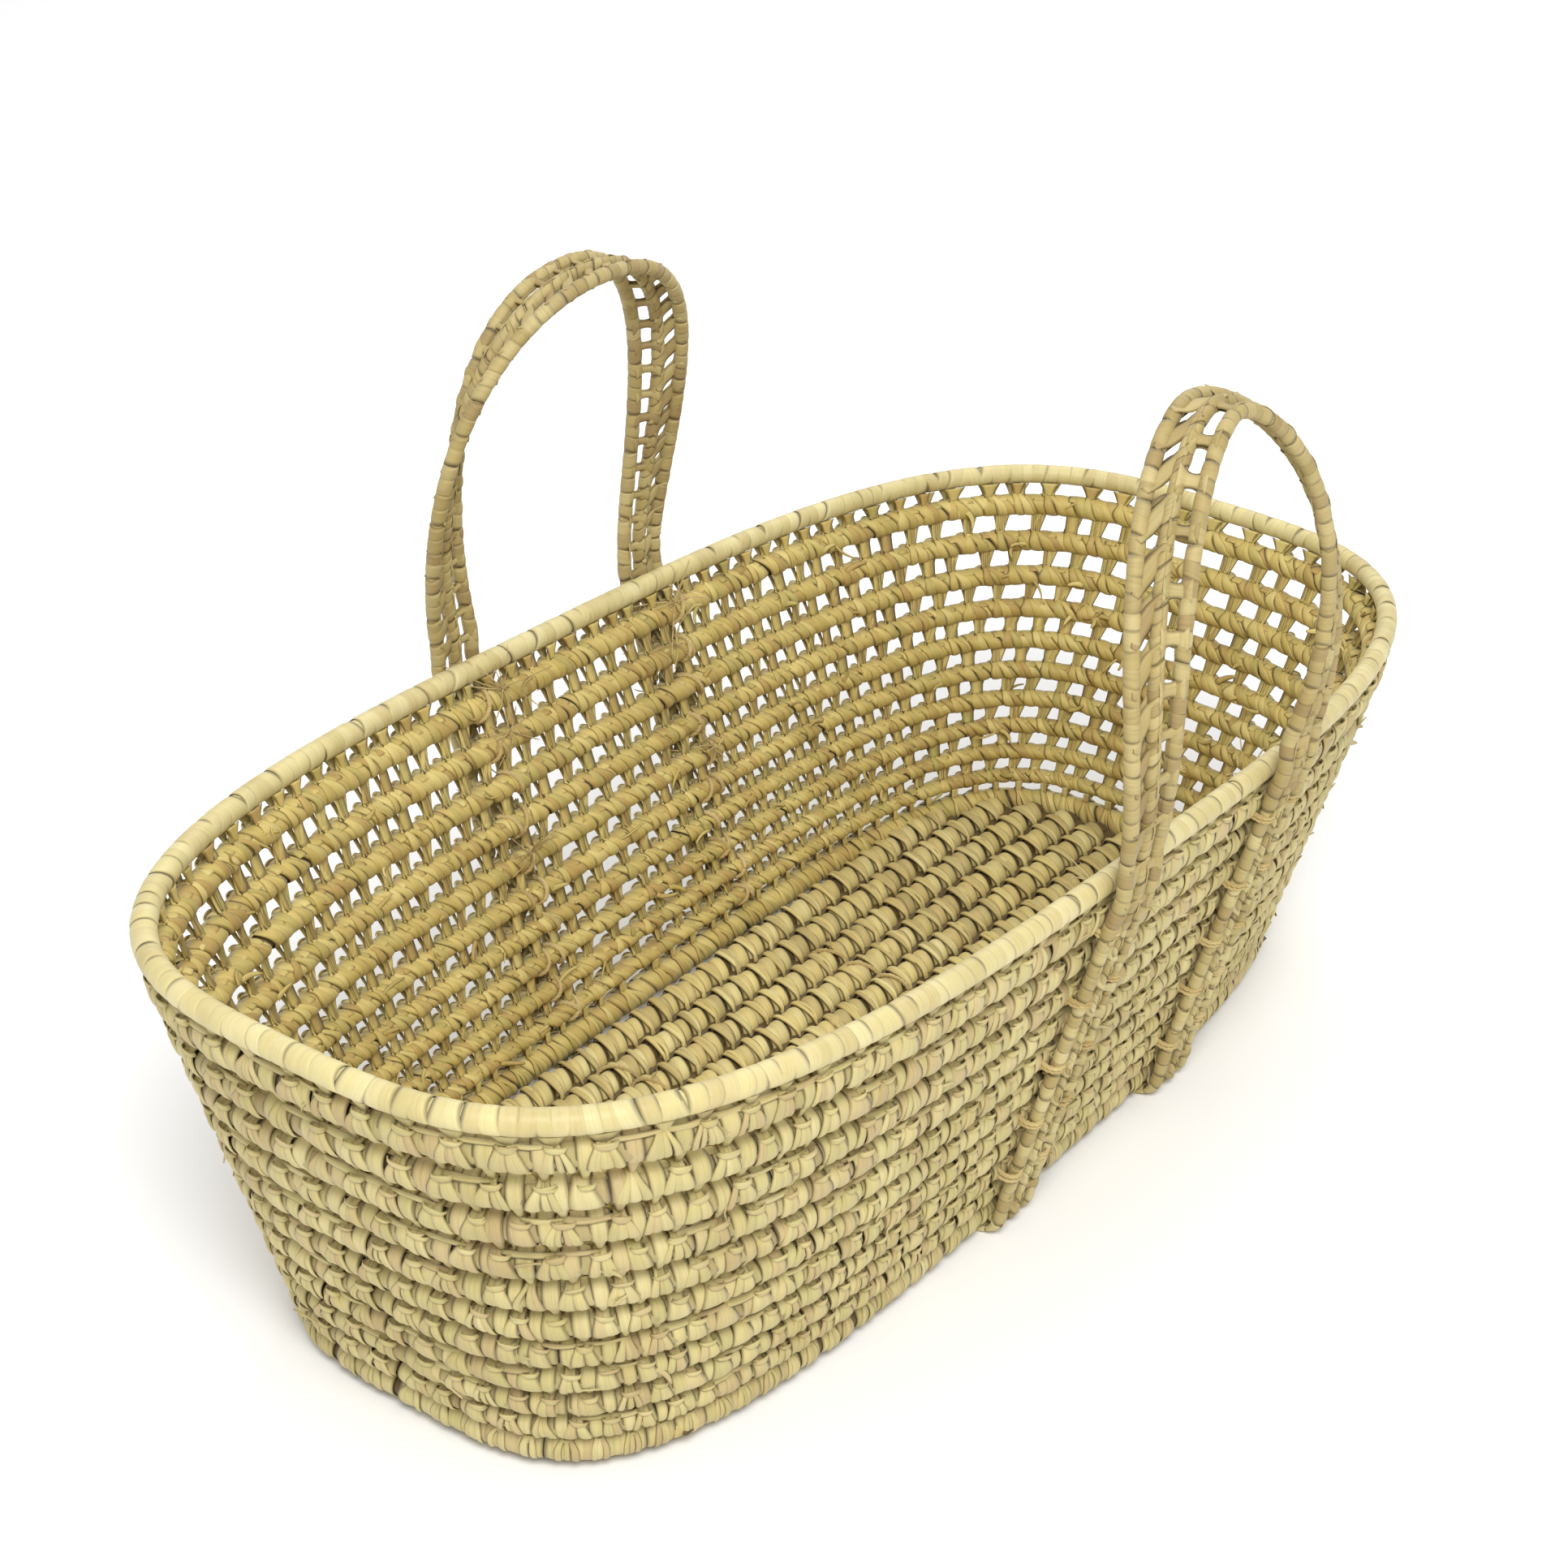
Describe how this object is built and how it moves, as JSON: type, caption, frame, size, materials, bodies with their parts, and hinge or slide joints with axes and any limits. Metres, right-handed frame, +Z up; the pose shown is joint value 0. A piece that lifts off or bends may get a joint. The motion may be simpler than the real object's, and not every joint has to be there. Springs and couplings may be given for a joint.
{
  "type": "moses basket",
  "caption": "Open-topped oblong baby basket of coiled palm leaf, with flared walls, a wrapped rim rod and openwork band handles that are sewn down the sides and pass under the base.",
  "frame": {"origin": "on the ground, at the middle of the basket's outline", "axes": "+X along the length towards the lower foot end, +Y across the width, +Z up"},
  "size_m": [0.8362, 0.438, 0.4592],
  "materials": {
    "rim_leaf": "smooth wrapped palm leaf with a low sheen",
    "wall_leaf": "coiled palm leaf, matt with a faint sheen",
    "floor_leaf": "coiled palm leaf, matt",
    "band_leaf": "tightly wrapped palm leaf, matt",
    "twine": "hairy jute twine"
  },
  "bodies": {
    "basket": {"rim_rod": "rim_leaf", "wall_coil_01": "wall_leaf", "wall_coil_02": "wall_leaf", "wall_coil_03": "wall_leaf", "wall_coil_04": "wall_leaf", "wall_coil_05": "wall_leaf", "wall_coil_06": "wall_leaf", "wall_coil_07": "wall_leaf", "wall_coil_08": "wall_leaf", "wall_coil_09": "wall_leaf", "wall_coil_10": "wall_leaf", "floor_edge_coil": "wall_leaf", "floor_coil_01": "floor_leaf", "floor_coil_02": "floor_leaf", "floor_coil_03": "floor_leaf", "floor_coil_04": "floor_leaf", "floor_coil_05": "floor_leaf", "floor_coil_06": "floor_leaf", "floor_coil_07": "floor_leaf", "floor_coil_08": "floor_leaf", "floor_coil_09": "floor_leaf", "floor_coil_10": "floor_leaf", "floor_coil_11": "floor_leaf", "strap_head_cord_inner": "band_leaf", "strap_head_cord_middle": "band_leaf", "strap_head_cord_outer": "band_leaf", "strap_head_web_inner": "band_leaf", "strap_head_web_outer": "band_leaf", "twine_near_head": "twine", "twine_far_head": "twine", "strap_foot_cord_inner": "band_leaf", "strap_foot_cord_middle": "band_leaf", "strap_foot_cord_outer": "band_leaf", "strap_foot_web_inner": "band_leaf", "strap_foot_web_outer": "band_leaf", "twine_near_foot": "twine", "twine_far_foot": "twine"},
    "handle_near": {"handle_near_cord_inner": "band_leaf", "handle_near_cord_middle": "band_leaf", "handle_near_cord_outer": "band_leaf", "handle_near_web_inner": "band_leaf", "handle_near_web_outer": "band_leaf"},
    "handle_far": {"handle_far_cord_inner": "band_leaf", "handle_far_cord_middle": "band_leaf", "handle_far_cord_outer": "band_leaf", "handle_far_web_inner": "band_leaf", "handle_far_web_outer": "band_leaf"}
  },
  "joints": [
    {"name": "handle_near_bend", "type": "hinge", "parent": "basket", "child": "handle_near", "pos_m": [0.05, -0.2129, 0.24], "axis": [1, 0, 0], "range_deg": [-35, 150]},
    {"name": "handle_far_bend", "type": "hinge", "parent": "basket", "child": "handle_far", "pos_m": [0.014, 0.2129, 0.24], "axis": [-1, 0, 0], "range_deg": [-35, 150]}
  ]
}
